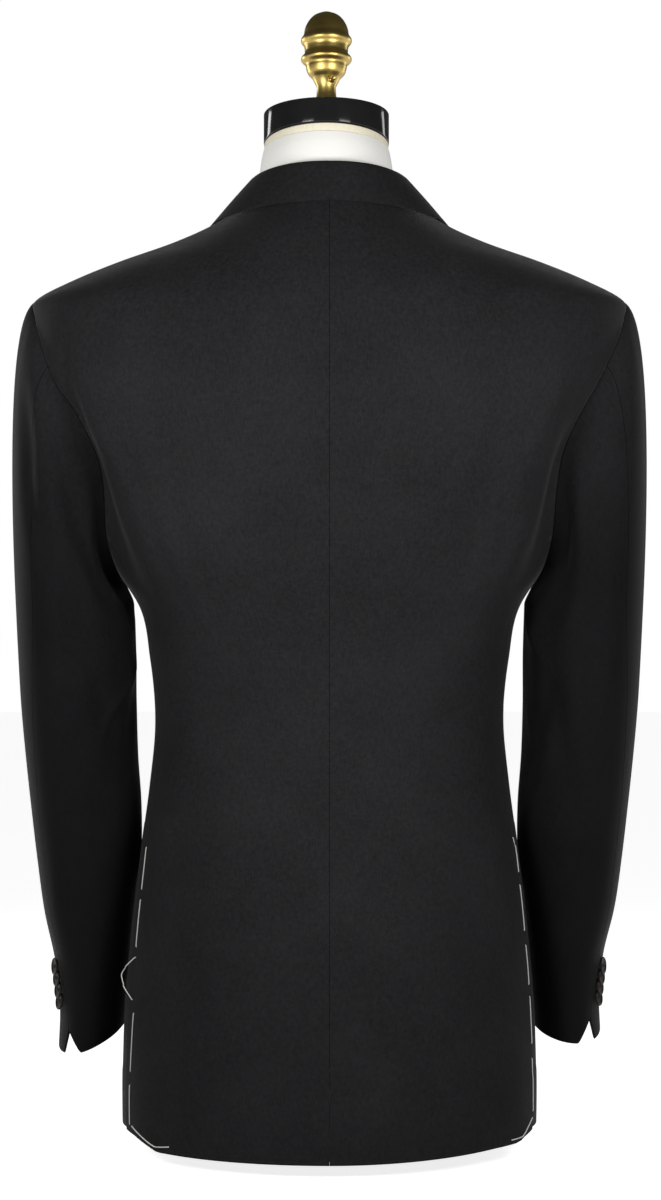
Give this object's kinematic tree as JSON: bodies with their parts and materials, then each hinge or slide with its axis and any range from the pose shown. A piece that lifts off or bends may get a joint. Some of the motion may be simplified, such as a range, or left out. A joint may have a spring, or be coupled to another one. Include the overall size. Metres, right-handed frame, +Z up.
{
  "type": "blazer on a limbless countertop dress form",
  "caption": "Tailored single-breasted blazer with notch lapels and side vents, worn on an armless torso form with a capped neck, a turned finial and a low oval foot.",
  "frame": {"origin": "centre of the form's foot, on the surface that it stands on", "axes": "+Z up, -Y the way the front of the jacket faces, +X to the wearer's left"},
  "size_m": [0.506, 0.2641, 0.9084],
  "materials": {
    "worsted": "matte charcoal-black worsted wool with a faint fleck",
    "horn": "polished black horn",
    "jersey": "off-white stretch jersey",
    "cream_tape": "cream woven tape",
    "black_lacquer": "high-gloss black lacquer",
    "brass": "satin antique brass"
  },
  "bodies": {
    "root": {"back_left": "worsted", "side_body_left": "worsted", "front_left": "worsted", "lapel_left": "worsted", "top_sleeve_left": "worsted", "under_sleeve_left": "worsted", "pocket_flap_left": "worsted", "back_right": "worsted", "side_body_right": "worsted", "front_right": "worsted", "lapel_right": "worsted", "top_sleeve_right": "worsted", "under_sleeve_right": "worsted", "pocket_flap_right": "worsted", "collar": "worsted", "breast_welt": "worsted", "front_button_top": "horn", "front_button_low": "horn", "cuff_button_left_1": "horn", "cuff_button_left_2": "horn", "cuff_button_left_3": "horn", "cuff_button_left_4": "horn", "cuff_button_right_1": "horn", "cuff_button_right_2": "horn", "cuff_button_right_3": "horn", "cuff_button_right_4": "horn", "form_body": "jersey", "form_piping": "cream_tape", "form_cap": "black_lacquer", "form_foot": "black_lacquer", "form_finial": "brass", "form_screw": "brass"}
  },
  "joints": []
}
